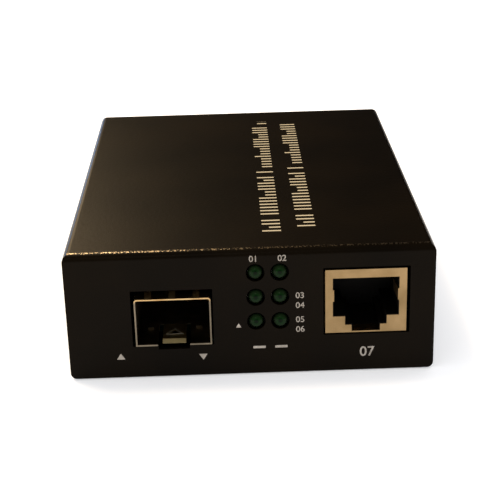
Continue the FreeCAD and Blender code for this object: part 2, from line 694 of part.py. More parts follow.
def sfp_cage_floor():
    """The cage's floor, open round the latch, with two guide tabs bent up."""
    top = BOARD_TOP + CAGE_SHEET
    x = (CAGE_LEFT + CAGE_SHEET, CAGE_RIGHT - CAGE_SHEET)
    floor = box(x, (CAGE_FRONT, EDGE_CONNECTOR_FRONT - CAGE_SHEET), (BOARD_TOP, top))
    opening = box(latch_span(LATCH_SLOT_WIDTH), (CAGE_FRONT - THROUGH, FRONT + LATCH_ROOT),
                  (BOARD_TOP - THROUGH, top + THROUGH))
    pieces = [floor.cut(opening)]
    tab_y = FRONT + GUIDE_TAB_DEPTH
    for tab_x in spread(GUIDE_TAB_COUNT, GUIDE_TAB_SPREAD, CAGE_X):
        pieces.append(box(centred(tab_x, GUIDE_TAB_WIDTH), (tab_y, tab_y + CAGE_SHEET),
                          (BOARD_TOP, top + GUIDE_TAB_HEIGHT)))
    return join(pieces)


def sfp_latch_tongue():
    """Sprung tongue whose triangle catches the module, with its nose bent down."""
    level = BOARD_TOP + CAGE_SHEET / 2
    fold = FRONT + LATCH_FOLD
    slope = math.radians(LATCH_NOSE_ANGLE)
    tip = (fold - LATCH_NOSE_LENGTH * math.cos(slope), level - LATCH_NOSE_LENGTH * math.sin(slope))
    path = [(FRONT + LATCH_ROOT - LATCH_ROOT_GAP, level), (fold, level), tip]
    tongue = folded("yz", latch_span(LATCH_WIDTH), CAGE_SHEET, path)
    base = FRONT + LATCH_HOLE_FRONT
    half = LATCH_HOLE_WIDTH / 2
    outline = [(CAGE_X - half, base), (CAGE_X + half, base), (CAGE_X, base + LATCH_HOLE_LENGTH)]
    hole = prism("xy", (BOARD_TOP - THROUGH, BOARD_TOP + THROUGH), outline)
    return tongue.cut(hole)


def edge_contacts():
    """Two rows of contacts, from the slot's faces back through the plastic to the board."""
    slot = centred(BOARD_TOP + EDGE_SLOT_Z, EDGE_SLOT_HEIGHT)
    half = EDGE_CONTACT_SHEET / 2
    start_y = EDGE_CONNECTOR_FRONT + EDGE_CONTACT_START
    contacts = []
    for row, level in enumerate((slot[0] + half, slot[1] - half)):
        exit_y = EDGE_CONNECTOR_REAR + EDGE_CONTACT_EXIT + row * EDGE_CONTACT_STEP
        shift = row * EDGE_CONTACT_PITCH / 2
        path = [(start_y, level), (exit_y, level), (exit_y, BOARD_TOP)]
        for x in spread(EDGE_CONTACT_COUNT, EDGE_CONTACT_PITCH, CAGE_X + shift):
            contacts.append(folded("yz", centred(x, EDGE_CONTACT_WIDTH), EDGE_CONTACT_SHEET, path))
    return contacts


def sfp_connector():
    """Host connector with a slot for the module's edge."""
    top = BOARD_TOP + EDGE_CONNECTOR_HEIGHT
    body = box(centred(CAGE_X, EDGE_CONNECTOR_WIDTH),
               (EDGE_CONNECTOR_FRONT, EDGE_CONNECTOR_REAR), (BOARD_TOP, top))
    slot = box(centred(CAGE_X, EDGE_SLOT_WIDTH),
               (EDGE_CONNECTOR_FRONT - THROUGH, EDGE_CONNECTOR_FRONT + EDGE_SLOT_DEPTH),
               centred(BOARD_TOP + EDGE_SLOT_Z, EDGE_SLOT_HEIGHT))
    return body.cut([slot] + edge_contacts())


def sfp_connector_contacts():
    return group(edge_contacts())


# ---------------------------------------------------------------- network socket
def side_spring(side):
    """Earthing spring at one side of the plug opening, bent into the socket."""
    edge = JACK_X + side * PLUG_WIDTH / 2
    inner = edge - side * SIDE_SPRING_BOW / 2
    tip = edge - side * SIDE_SPRING_BOW
    bottom = PLUG_FLOOR + SIDE_SPRING_Z
    behind = JACK_FRONT + JACK_SHEET
    outline = [
        (edge + side * JACK_SHEET, JACK_FRONT), (inner, JACK_FRONT),
        (tip, JACK_FRONT + SIDE_SPRING_LENGTH),
        (tip + side * JACK_SHEET, JACK_FRONT + SIDE_SPRING_LENGTH),
        (inner + side * JACK_SHEET, behind), (edge + side * JACK_SHEET, behind),
    ]
    return prism("xy", (bottom, bottom + SIDE_SPRING_HEIGHT), outline)


def rj45_shield():
    """Steel shell folded round the socket, open below except under its front."""
    outer = box((JACK_LEFT, JACK_RIGHT), (JACK_FRONT, JACK_REAR), (JACK_BOTTOM, JACK_TOP))
    inside_x = (JACK_LEFT + JACK_SHEET, JACK_RIGHT - JACK_SHEET)
    inside_y = (JACK_FRONT + JACK_SHEET, JACK_REAR - JACK_SHEET)
    floor = JACK_BOTTOM + JACK_SHEET
    hollow = box(inside_x, inside_y, (floor, JACK_TOP - JACK_SHEET))
    open_floor = box(inside_x, (JACK_FRONT + JACK_STRIP_LENGTH, JACK_REAR - JACK_SHEET),
                     (JACK_BOTTOM - THROUGH, floor + JACK_SHEET))
    opening = plug_opening((JACK_FRONT - THROUGH, JACK_FRONT + 2 * JACK_SHEET), 0.0, floor)
    shell = outer.cut([hollow, open_floor, opening])
    pieces = [shell, side_spring(-1), side_spring(1)]
    for x, y in jack_legs():
        pieces.append(box(x, y, (BOARD_BOTTOM, JACK_BOTTOM + JACK_SHEET)))
    return join(pieces)


def wire_contacts():
    """Sprung wires: up from the board, forward over the plug and back down into its way."""
    rear = JACK_REAR - WIRE_REAR
    roof = PLUG_CEILING + WIRE_ROOF + WIRE_SHEET / 2
    front = JACK_FRONT + WIRE_FRONT
    fold = roof - WIRE_NOSE
    slope = math.radians(WIRE_SLOPE)
    tip = (front + WIRE_FREE_LENGTH * math.cos(slope), fold - WIRE_FREE_LENGTH * math.sin(slope))
    path = [(rear, BOARD_TOP), (rear, roof), (front + WIRE_NOSE, roof), (front, fold), tip]
    wires = []
    for x in spread(WIRE_COUNT, WIRE_PITCH, JACK_X):
        wires.append(folded("yz", centred(x, WIRE_WIDTH), WIRE_SHEET, path))
    return wires


def rj45_housing():
    """Plastic body inside the shield, standing on the board on four ribs."""
    x = (JACK_LEFT + JACK_SHEET, JACK_RIGHT - JACK_SHEET)
    y = (JACK_FRONT + JACK_SHEET, JACK_REAR - JACK_SHEET)
    bottom = JACK_BOTTOM + JACK_SHEET
    body = box(x, y, (bottom, JACK_TOP - JACK_SHEET))
    behind_strip = (JACK_FRONT + JACK_STRIP_LENGTH, y[1])
    floor = box(x, behind_strip, (JACK_BOTTOM, bottom))
    cavity = plug_opening((JACK_FRONT - THROUGH, JACK_FRONT + PLUG_DEPTH), CAVITY_LIP, bottom)
    ribs = []
    for rib_y in (JACK_FRONT + JACK_STRIP_LENGTH + JACK_RIB_WIDTH, y[1] - JACK_RIB_LENGTH):
        for rib_x in (x[0] + JACK_RIB_WIDTH, x[1] - 2 * JACK_RIB_WIDTH):
            ribs.append(box((rib_x, rib_x + JACK_RIB_WIDTH), (rib_y, rib_y + JACK_RIB_LENGTH),
                            (BOARD_TOP, bottom + JACK_SHEET)))
    springs = []
    for side in (-1, 1):
        edge = JACK_X + side * (PLUG_WIDTH / 2 - SIDE_SPRING_BOW)
        back = JACK_X + side * (PLUG_WIDTH / 2 + JACK_SHEET + CAVITY_LIP)
        pocket_z = (PLUG_FLOOR + SIDE_SPRING_Z - CAVITY_LIP,
                    PLUG_FLOOR + SIDE_SPRING_Z + SIDE_SPRING_HEIGHT + CAVITY_LIP)
        springs.append(box(sorted((edge, back)),
                           (JACK_FRONT, JACK_FRONT + SIDE_SPRING_LENGTH + CAVITY_LIP), pocket_z))
    return join([body, floor] + ribs).cut([cavity] + springs + wire_contacts())


def rj45_contacts():
    return group(wire_contacts())


# ---------------------------------------------------------------- indicator lamps
def lamp(x, z):
    """A round rimless lamp with a bevelled front end."""
    barrel = rod(LED_RADIUS, Vector(x, LED_TIP, z), Vector(0, 1, 0), LED_LENGTH)
    rim = [edge for edge in barrel.Edges if near(edge.CenterOfMass.y, LED_TIP)]
    return barrel.makeChamfer(LED_BEVEL, rim)


def led_holder():
    """Plastic block with a square cell round each lamp, which keeps it level with its hole."""
    cell = 2 * (LED_RADIUS + LED_BORE_GAP)
    side = (LED_COLUMN_PITCH + cell) / 2 + LED_HOLDER_WALL
    top = LED_ROWS[0] + cell / 2 + LED_HOLDER_WALL
    front = FLANGE_BACK + LED_HOLDER_GAP
    rear = LED_BACK - LED_TAIL
    block = box(centred(LED_X, 2 * side), (front, rear), (BOARD_TOP, top))
    cells = []
    for x in LED_COLUMNS:
        for z in LED_ROWS:
            cells.append(box(centred(x, cell), (front - THROUGH, rear + THROUGH), centred(z, cell)))
    return block.cut(cells)


def led_leads():
    """Two leads from the back of each lamp, bent down to the board."""
    leads = []
    for row, z in enumerate(LED_ROWS):
        exit_y = LED_BACK + LEAD_FIRST_EXIT + (len(LED_ROWS) - 1 - row) * LEAD_ROW_STEP
        path = [(LED_BACK, z), (exit_y, z), (exit_y, BOARD_TOP)]
        for column in LED_COLUMNS:
            for x in spread(LAMP_LEAD_COUNT, LEAD_SPREAD, column):
                leads.append(folded("yz", centred(x, LEAD_SIZE), LEAD_SIZE, path))
    return group(leads)


# ---------------------------------------------------------------- power inlet
def inlet_axis_point(y):
    return Vector(INLET_X, y, INLET_Z)


def inlet_pin_tail():
    """The thinner end of the centre pin, and the hole in the plastic that holds it."""
    return rod(INLET_TAIL_RADIUS, inlet_axis_point(INLET_BORE_END - INLET_TAIL),
               Vector(0, 1, 0), INLET_TAIL)


def dc_centre_pin():
    """The inlet's centre pin, thinner where the plastic holds it."""
    pin = rod(INLET_PIN_RADIUS, inlet_axis_point(INLET_BORE_END), Vector(0, 1, 0), INLET_PIN_LENGTH)
    return join([pin, inlet_pin_tail()])


def dc_sleeve_spring():
    """Bent leaf in a groove at the side of the inlet's bore, which meets the plug's sleeve."""
    wall = INLET_X - INLET_BORE_RADIUS - SPRING_SHEET / 2
    inner, outer = INLET_BORE_END + SPRING_SHEET, INLET_FACE - SPRING_SHEET
    path = [(wall, inner), (wall + SPRING_BOW, (inner + outer) / 2), (wall, outer)]
    return folded("xy", centred(INLET_Z, SPRING_WIDTH), SPRING_SHEET, path)


def dc_jack_housing():
    """Body of the power inlet: a block with a rounded top and a blind bore to the rear."""
    x = centred(INLET_X, INLET_WIDTH)
    y = (INLET_FACE - INLET_LENGTH, INLET_FACE)
    body = box(x, y, (BOARD_TOP, BOARD_TOP + INLET_HEIGHT))
    top = BOARD_TOP + INLET_HEIGHT
    body = round_edges(body, INLET_ROUND,
                       lambda direction, place: along_y(direction) and near(place.z, top))
    bore = rod(INLET_BORE_RADIUS, inlet_axis_point(INLET_BORE_END), Vector(0, 1, 0),
               INLET_BORE_DEPTH + THROUGH)
    groove = box((INLET_X - INLET_BORE_RADIUS - SPRING_SHEET, INLET_X),
                 (INLET_BORE_END, INLET_FACE + THROUGH), centred(INLET_Z, SPRING_WIDTH))
    groove_mouth = box((x[0] - THROUGH, x[1] + THROUGH), (INLET_FACE, INLET_FACE + THROUGH),
                       (BOARD_TOP, top))
    return body.cut([bore, groove.cut(groove_mouth), inlet_pin_tail()])


# ---------------------------------------------------------------- parts on the board
def on_board(x, y, height):
    """A block that stands on the board."""
    return box(x, y, (BOARD_TOP, BOARD_TOP + height))


def chip_lead(edge, direction, rise):
    """One flat lead, out of a chip's side and down to the board."""
    x, y = edge
    half = LEAD_WIDTH / 2
    outline = [
        (0, rise), (LEAD_REACH, rise), (LEAD_REACH, 0), (LEAD_REACH - LEAD_THICKNESS, 0),
        (LEAD_REACH - LEAD_THICKNESS, rise - LEAD_THICKNESS), (0, rise - LEAD_THICKNESS),
    ]
    if direction[0]:
        points = [(x + direction[0] * out, BOARD_TOP + up) for out, up in outline]
        return prism("xz", (y - half, y + half), points)
    points = [(y + direction[1] * out, BOARD_TOP + up) for out, up in outline]
    return prism("yz", (x - half, x + half), points)


def converter_chip():
    return on_board(centred(CHIP_X, CHIP_SIZE), centred(CHIP_Y, CHIP_SIZE), CHIP_HEIGHT)


def memory_chip():
    return on_board(centred(CHIP_X, MEMORY_WIDTH), centred(MEMORY_Y, MEMORY_LENGTH), MEMORY_HEIGHT)


def chip_leads():
    """Leads of the converter chip and of the memory chip."""
    leads = []
    half = CHIP_SIZE / 2
    rise = CHIP_HEIGHT / 2
    for offset in spread(CHIP_LEAD_COUNT, CHIP_LEAD_PITCH):
        for side in (-1, 1):
            leads.append(chip_lead((CHIP_X + side * half, CHIP_Y + offset), (side, 0), rise))
            leads.append(chip_lead((CHIP_X + offset, CHIP_Y + side * half), (0, side), rise))
    for y in spread(MEMORY_LEAD_COUNT, MEMORY_LEAD_PITCH, MEMORY_Y):
        for side in (-1, 1):
            edge = (CHIP_X + side * MEMORY_WIDTH / 2, y)
            leads.append(chip_lead(edge, (side, 0), MEMORY_HEIGHT / 2))
    return group(leads)


def network_transformer():
    return on_board(centred(TRANSFORMER_X, TRANSFORMER_LENGTH),
                    centred(TRANSFORMER_Y, TRANSFORMER_WIDTH), TRANSFORMER_HEIGHT)


def transformer_leads():
    leads = []
    pitch = TRANSFORMER_LENGTH / TRANSFORMER_LEAD_COUNT
    for x in spread(TRANSFORMER_LEAD_COUNT, pitch, TRANSFORMER_X):
        for side in (-1, 1):
            edge = (x, TRANSFORMER_Y + side * TRANSFORMER_WIDTH / 2)
            leads.append(chip_lead(edge, (0, side), TRANSFORMER_HEIGHT / 4))
    return group(leads)


def crystal_can():
    """Timing crystal: a long can with round ends on a flat base."""
    can = on_board(centred(CRYSTAL_X, CRYSTAL_WIDTH - 2 * CRYSTAL_RIM),
                   centred(CHIP_Y, CRYSTAL_LENGTH - 2 * CRYSTAL_RIM), CRYSTAL_HEIGHT)
    corner = (CRYSTAL_WIDTH - CRYSTAL_END_FLAT) / 2 - CRYSTAL_RIM
    can = round_edges(can, corner, lambda direction, place: along_z(direction))
    base = on_board(centred(CRYSTAL_X, CRYSTAL_WIDTH), centred(CHIP_Y, CRYSTAL_LENGTH),
                    CRYSTAL_RIM_HEIGHT)
    return join([base, can])


def power_inductor():
    """Shielded coil: a ferrite block with bevelled corners and its core standing proud."""
    body = on_board(centred(INDUCTOR_X, INDUCTOR_SIZE), centred(INDUCTOR_Y, INDUCTOR_SIZE),
                    INDUCTOR_HEIGHT)
    uprights = [edge for edge in body.Edges if along_z(edge.Curve.Direction)]
    body = body.makeChamfer(INDUCTOR_CORNER, uprights)
    foot = Vector(INDUCTOR_X, INDUCTOR_Y, BOARD_TOP)
    core = rod(INDUCTOR_CORE_RADIUS, foot, Vector(0, 0, 1), INDUCTOR_CORE_HEIGHT)
    return join([body, core])


def voltage_regulator():
    """Moulded regulator with its cooling tab and three legs."""
    front = REGULATOR_Y - REGULATOR_WIDTH / 2
    rear = REGULATOR_Y + REGULATOR_WIDTH / 2
    body = on_board(centred(REGULATOR_X, REGULATOR_LENGTH), (front, rear), REGULATOR_HEIGHT)
    tab = on_board(centred(REGULATOR_X, REGULATOR_TAB_WIDTH),
                   (rear - LEAD_THICKNESS, rear + REGULATOR_TAB_LENGTH), LEAD_THICKNESS)
    pieces = [body, tab]
    for x in spread(REGULATOR_LEG_COUNT, REGULATOR_LENGTH / REGULATOR_LEG_COUNT, REGULATOR_X):
        pieces.append(on_board(centred(x, REGULATOR_LEG_WIDTH),
                               (front - REGULATOR_TAB_LENGTH, front + LEAD_THICKNESS), LEAD_THICKNESS))
    return join(pieces)


def can_capacitor(x, radius, height):
    """Electrolytic capacitor: a drawn can on a square foot with two bevelled corners."""
    y = BOARD_REAR - CAN_REAR
    size = 2 * (radius + CAN_FOOT_EDGE)
    foot = on_board(centred(x, size), centred(y, size), CAN_FOOT_HEIGHT)
    front_corners = []
    for edge in foot.Edges:
        if along_z(edge.Curve.Direction) and edge.CenterOfMass.y < y:
            front_corners.append(edge)
    foot = foot.makeChamfer(CAN_FOOT_BEVEL, front_corners)
    return join([rod(radius, Vector(x, y, BOARD_TOP), Vector(0, 0, 1), height), foot])


def input_capacitor():
    return can_capacitor(CAN_X, INPUT_CAN_RADIUS, INPUT_CAN_HEIGHT)


def output_capacitor():
    return can_capacitor(CAN_X + CAN_SPACING, OUTPUT_CAN_RADIUS, OUTPUT_CAN_HEIGHT)


def input_diode():
    x = INLET_X - INLET_WIDTH / 2 - DIODE_SIDE
    y = INLET_FACE - INLET_LENGTH / 2
    return on_board(centred(x, DIODE_WIDTH), centred(y, DIODE_LENGTH), DIODE_HEIGHT)


def small_parts():
    """Chip resistors and capacitors in two rows, right of the converter chip and ahead of it."""
    reach = CHIP_REACH + SMALL_ROW_GAP
    blocks = []
    for offset in spread(SMALL_PART_COUNT, SMALL_PART_PITCH):
        blocks.append(on_board(centred(CHIP_X + reach, SMALL_PART_LENGTH),
                               centred(CHIP_Y + offset, SMALL_PART_WIDTH), SMALL_PART_HEIGHT))
        blocks.append(on_board(centred(CHIP_X + offset, SMALL_PART_WIDTH),
                               centred(CHIP_Y - reach, SMALL_PART_LENGTH), SMALL_PART_HEIGHT))
    return group(blocks)


# ---------------------------------------------------------------- files
PIECES = [
    top_cover, base_tray, case_screws,
    circuit_board, board_standoffs, board_screws,
    sfp_cage_shell, sfp_cage_floor, sfp_latch_tongue, sfp_connector, sfp_connector_contacts,
    rj45_shield, rj45_housing, rj45_contacts,
    led_holder, led_leads,
    dc_jack_housing, dc_centre_pin, dc_sleeve_spring,
    converter_chip, memory_chip, chip_leads, network_transformer, transformer_leads,
    crystal_can, power_inductor, voltage_regulator, input_capacitor, output_capacitor,
    input_diode, small_parts,
]

LAMP_NAMES = [               # by row from the top, left to right
    ("led_power", "led_gigabit"),
    ("led_fibre_link", "led_copper_link"),
    ("led_signal_detect", "led_full_duplex"),
]


def write(name, shape):
    shape.exportStep(os.path.join("parts", name + ".step"))


os.makedirs("parts", exist_ok=True)
for piece in PIECES:
    write(piece.__name__, piece())
for z, row in zip(LED_ROWS, LAMP_NAMES):
    for x, name in zip(LED_COLUMNS, row):
        write(name, lamp(x, z))
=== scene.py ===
import json
import math

import bpy
from mathutils import Matrix, Vector


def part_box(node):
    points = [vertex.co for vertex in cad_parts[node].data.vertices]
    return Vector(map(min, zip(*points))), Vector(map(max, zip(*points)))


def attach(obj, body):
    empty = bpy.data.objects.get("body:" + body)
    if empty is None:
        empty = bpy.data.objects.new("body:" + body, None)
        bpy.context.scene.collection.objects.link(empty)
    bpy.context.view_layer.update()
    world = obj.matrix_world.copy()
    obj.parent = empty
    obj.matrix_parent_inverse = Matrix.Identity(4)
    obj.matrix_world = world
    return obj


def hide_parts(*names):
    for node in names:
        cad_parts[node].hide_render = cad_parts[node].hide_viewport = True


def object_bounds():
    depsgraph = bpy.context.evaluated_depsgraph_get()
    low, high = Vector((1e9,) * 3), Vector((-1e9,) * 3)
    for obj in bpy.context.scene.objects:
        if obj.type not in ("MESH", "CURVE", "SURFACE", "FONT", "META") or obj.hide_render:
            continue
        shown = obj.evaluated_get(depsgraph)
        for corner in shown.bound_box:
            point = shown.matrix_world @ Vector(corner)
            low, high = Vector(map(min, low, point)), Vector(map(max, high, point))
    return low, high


# Fibre media converter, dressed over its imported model: powder-coated case with printed
# marks, plated cage and socket, green lamps, and the parts inside. Metres, +X right as seen
# from the front, +Y to the rear, +Z up. Sizes below are in millimetres until they pass mm().

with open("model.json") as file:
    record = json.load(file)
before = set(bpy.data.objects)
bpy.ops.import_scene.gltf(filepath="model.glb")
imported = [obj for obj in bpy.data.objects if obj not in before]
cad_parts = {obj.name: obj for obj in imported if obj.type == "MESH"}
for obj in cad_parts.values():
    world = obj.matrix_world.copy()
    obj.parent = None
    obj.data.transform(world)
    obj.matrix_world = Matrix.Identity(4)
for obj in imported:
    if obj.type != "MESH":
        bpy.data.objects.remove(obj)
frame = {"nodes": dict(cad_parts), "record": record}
CAD_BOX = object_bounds()


def mm(value):
    return value / 1000


COVER_LOW, COVER_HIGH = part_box("top_cover")
FRONT = COVER_LOW.y
CASE_TOP = COVER_HIGH.z
CAGE_TOP = mm(16.9)          # outside of the module cage, below its fingers
LAMPS = [                    # from the top row down, left and right
    ("led_power", "led_gigabit"),
    ("led_fibre_link", "led_copper_link"),
    ("led_signal_detect", "led_full_duplex"),
]


def middle_of(node):
    low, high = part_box(node)
    return (low + high) / 2


# ---------------------------------------------------------------- colours and nodes
NOISE = "ShaderNodeTexNoise"
MATH = "ShaderNodeMath"
RAMP = "ShaderNodeValToRGB"
RANGE = "ShaderNodeMapRange"
MIX = "ShaderNodeMix"
BUMP = "ShaderNodeBump"
AXES = "ShaderNodeSeparateXYZ"


def linear(code):
    """An sRGB hex colour as the linear values that a shader takes."""
    channels = []
    for start in (0, 2, 4):
        value = int(code[start:start + 2], 16) / 255
        channels.append(value / 12.92 if value <= 0.04045 else ((value + 0.055) / 1.055) ** 2.4)
    return (*channels, 1.0)


def feed(tree, node, inputs):
    """Gives each input a plain value, or a link from a socket or from a node's first output."""
    for name, value in inputs.items():
        if isinstance(value, bpy.types.Node):
            value = value.outputs[0]
        if isinstance(value, bpy.types.NodeSocket):
            tree.links.new(value, node.inputs[name])
        else:
            node.inputs[name].default_value = value


def add(tree, kind, inputs=None, stops=(), **settings):
    """A node with its settings, its inputs and, where it is a ramp, its colour stops."""
    node = tree.nodes.new(kind)
    for name, value in settings.items():
        setattr(node, name, value)
    feed(tree, node, inputs or {})
    for index, (position, colour) in enumerate(stops):
        ramp = node.color_ramp.elements
        stop = ramp[index] if index < len(ramp) else ramp.new(position)
        stop.position = position
        stop.color = linear(colour)
    return node


def span(low, high):
    """The middle and half width that a Compare takes to give 1 from low to high, else 0."""
    return {1: (low + high) / 2, 2: (high - low) / 2}


def start_material(name, surface):
    """A material with one Principled shader, whose own sockets take the values in surface."""
    material = bpy.data.materials.new(name)
    material.use_nodes = True
    tree = material.node_tree
    shader = tree.nodes["Principled BSDF"]
    feed(tree, shader, surface)
    place = add(tree, "ShaderNodeTexCoord").outputs["Object"]
    return material, tree, shader, place


# ---------------------------------------------------------------- print on the top
TICK_PITCH = 1.9             # mm along the row
TICK_WIDTH = 0.6
TICK_LEAD = 0.18             # bare part of the pitch before a tick
TICK_ROWS = [                # (lowest x, row height, from the front, to the front), mm
    (2.8, 3.65, 9.1, 85.5),
    (9.75, 3.55, 11.3, 83.7),
]
SHORT_TICK = 0.62            # part of the row's height
SHORT_CHANCE = 0.45
GAP_CHANCE = 0.11
PRINTED_DEPTH = 0.1          # mm below the top face that the ink may reach


def top_ticks(tree, place):
    """Two plain rows of ticks that run to the rear, 1 on the ink and 0 beside it."""
    axes = add(tree, AXES, {"Vector": place}).outputs
    rows = []
    for low, height, start, end in TICK_ROWS:
        reach = span(FRONT + mm(start), FRONT + mm(end))
        line = span(TICK_LEAD, TICK_LEAD + TICK_WIDTH / TICK_PITCH)
        along = add(tree, MATH, {0: axes["Y"], 1: FRONT + mm(start)}, operation="SUBTRACT")
        steps = add(tree, MATH, {0: along, 1: mm(TICK_PITCH)}, operation="DIVIDE")
        number = add(tree, MATH, {0: steps}, operation="FLOOR")
        within = add(tree, MATH, {0: steps}, operation="FRACT")
        chance = add(tree, "ShaderNodeTexWhiteNoise", {"W": number},
                     noise_dimensions="1D").outputs["Value"]
        tall = add(tree, MATH, {0: chance, 1: SHORT_CHANCE}, operation="GREATER_THAN")
        drawn = add(tree, MATH, {0: chance, 1: GAP_CHANCE}, operation="GREATER_THAN")
        full = add(tree, RANGE, {"Value": tall, "To Min": mm(height * SHORT_TICK),
                                 "To Max": mm(height)})
        length = add(tree, MATH, {0: full, 1: drawn}, operation="MULTIPLY")
        from_foot = add(tree, MATH, {0: mm(low + height), 1: axes["X"]}, operation="SUBTRACT")
        past_foot = add(tree, MATH, {0: from_foot, 1: 0.0}, operation="GREATER_THAN")
        below_tip = add(tree, MATH, {0: from_foot, 1: length}, operation="LESS_THAN")
        across = add(tree, MATH, {0: past_foot, 1: below_tip}, operation="MULTIPLY")
        on_line = add(tree, MATH, {0: within, **line}, operation="COMPARE")
        tick = add(tree, MATH, {0: on_line, 1: across}, operation="MULTIPLY")
        in_row = add(tree, MATH, {0: axes["Y"], **reach}, operation="COMPARE")
        rows.append(add(tree, MATH, {0: tick, 1: in_row}, operation="MULTIPLY"))
    both = add(tree, MATH, {0: rows[0], 1: rows[1]}, operation="MAXIMUM")
    on_top = add(tree, MATH, {0: axes["Z"], 1: CASE_TOP - mm(PRINTED_DEPTH)},
                 operation="GREATER_THAN")
    return add(tree, MATH, {0: both, 1: on_top}, operation="MULTIPLY")


# ---------------------------------------------------------------- materials
TOP_INK = "b8aa8b"
BARE_STEEL = "867a6a"
FOLD_WEAR = (0.002, 0.11)    # mm below the top between which the front fold is rubbed thin
FOLD_DEPTH = 1.6             # mm behind the front that the fold reaches
FLECK_SIZE = 0.4
FLECK_SHARE = 0.53
TOP_LIGHT_DEPTH = 0.9           # mm below the cage's top over which its painted top light fades
# Lens colours out from its eye: the brighter ring is painted light and the dark rim is painted
# shade.
LENS_LIGHT_AND_SHADE = [              # part of the lamp's radius, colour
    (0.0, "010d02"),
    (0.2, "021403"),
    (0.42, "0e280d"),
    (0.64, "12220d"),
    (0.84, "0a1408"),
    (1.0, "050904"),
]


def worn_fold(tree, place):
    """1 on the flecks of bright steel that show where the top folds over at the front, else 0."""
    axes = add(tree, AXES, {"Vector": place}).outputs
    height = span(CASE_TOP - mm(FOLD_WEAR[1]), CASE_TOP - mm(FOLD_WEAR[0]))
    high = add(tree, MATH, {0: axes["Z"], **height}, operation="COMPARE")
    near = add(tree, MATH, {0: axes["Y"], 1: FRONT + mm(FOLD_DEPTH)}, operation="LESS_THAN")
    on_fold = add(tree, MATH, {0: high, 1: near}, operation="MULTIPLY")
    spots = add(tree, NOISE, {"Vector": place, "Scale": 1 / mm(FLECK_SIZE), "Detail": 3.0})
    flecks = add(tree, MATH, {0: spots, 1: FLECK_SHARE}, operation="GREATER_THAN")
    return add(tree, MATH, {0: on_fold, 1: flecks}, operation="MULTIPLY")


def powder_coated_steel(name, printed):
    """Fine black powder coat: a warm black with a faint pebbled skin and a low sheen. Its
    pebbles are about 0.4 mm across and are drawn at 0.7 mm, where they begin to show."""
    material, tree, shader, place = start_material(name, {"Specular IOR Level": 0.045})
    pebbles = add(tree, NOISE, {"Vector": place, "Scale": 1 / mm(0.7), "Detail": 2.0})
    patches = add(tree, NOISE, {"Vector": place, "Scale": 1 / mm(22), "Detail": 3.0})
    colour = add(tree, RAMP, {"Fac": patches}, [(0.35, "0b0703"), (0.65, "110b04")])
    if printed:
        ink = top_ticks(tree, place)
        colour = add(tree, MIX, {"Factor": ink, 6: colour, 7: linear(TOP_INK)},
                     data_type="RGBA").outputs[2]
    rubbed = worn_fold(tree, place)
    colour = add(tree, MIX, {"Factor": rubbed, 6: colour, 7: linear(BARE_STEEL)},
                 data_type="RGBA").outputs[2]
    feed(tree, shader, {
        "Base Color": colour,
        "Metallic": rubbed,
        "Roughness": add(tree, RANGE, {"Value": patches, "To Min": 0.32, "To Max": 0.36}),
        "Normal": add(tree, BUMP, {"Height": pebbles, "Strength": 0.8, "Distance": mm(0.03)}),
    })
    return material


def blackened_screw():
    """Black oxide on steel: an even oily black, a little shinier than the coat round it."""
    material, tree, shader, place = start_material("black oxide steel",
                                                   {"Specular IOR Level": 0.25})
    wear = add(tree, NOISE, {"Vector": place, "Scale": 1 / mm(0.4), "Detail": 2.0})
    feed(tree, shader, {
        "Base Color": add(tree, RAMP, {"Fac": wear}, [(0.3, "0e0c0a"), (0.8, "171411")]),
        "Roughness": add(tree, RANGE, {"Value": wear, "To Min": 0.3, "To Max": 0.42}),
    })
    return material


def solder_mask():
    """Green solder mask on glass laminate: glossy, with the weave just showing. Its threads
    are about 0.5 mm apart and are drawn at 1.6 mm, where they show."""
    material, tree, shader, place = start_material(
        "green solder mask", {"Roughness": 0.3, "Specular IOR Level": 0.3})
    weave = add(tree, "ShaderNodeTexWave", {"Vector": place, "Scale": 1 / mm(1.6),
                                            "Distortion": 0.6}).outputs["Fac"]
    feed(tree, shader, {
        "Base Color": add(tree, RAMP, {"Fac": weave}, [(0.2, "04120a"), (0.9, "081c10")]),
        "Normal": add(tree, BUMP, {"Height": weave, "Strength": 0.3, "Distance": mm(0.01)}),
    })
    return material


def brushed_plate(name, dark, light, smooth, rough, squeeze, painted_top_light=False):
    """Plated sheet: fine rolling marks, squeezed across their run, and a cloudy shine. The
    marks are finer in the metal and are drawn 0.35 mm apart, where they show. A sheet with
    painted top light is coloured warm and bright at its top, where the fingers are: painted
    light from above."""
    material, tree, shader, place = start_material(name, {"Metallic": 1.0})
    rolled = add(tree, "ShaderNodeMapping", {"Vector": place, "Scale": squeeze})
    marks = add(tree, NOISE, {"Vector": rolled, "Scale": 1 / mm(0.35), "Detail": 3.0})
    clouds = add(tree, NOISE, {"Vector": place, "Scale": 1 / mm(4), "Detail": 2.0})
    tone = add(tree, MATH, {0: marks, 1: 0.5, 2: clouds}, operation="MULTIPLY_ADD")
    colour = add(tree, RAMP, {"Fac": tone}, [(0.5, dark), (1.0, light)])
    # Painted light: the top of the sheet is coloured brighter and warmer, standing in for light
    # from above.
    if painted_top_light:
        height = add(tree, AXES, {"Vector": place}).outputs["Z"]
        share = add(tree, RANGE, {"Value": height, "From Min": CAGE_TOP - mm(TOP_LIGHT_DEPTH),
                                  "From Max": CAGE_TOP})
        tan = add(tree, RAMP, {"Fac": tone}, [(0.5, "b98f58"), (1.0, "ecd09a")])
        colour = add(tree, MIX, {"Factor": share, 6: colour, 7: tan}, data_type="RGBA").outputs[2]
    feed(tree, shader, {
        "Base Color": colour,
        "Roughness": add(tree, RANGE, {"Value": marks, "To Min": smooth, "To Max": rough}),
        "Normal": add(tree, BUMP, {"Height": marks, "Strength": 0.4, "Distance": mm(0.005)}),
    })
    return material


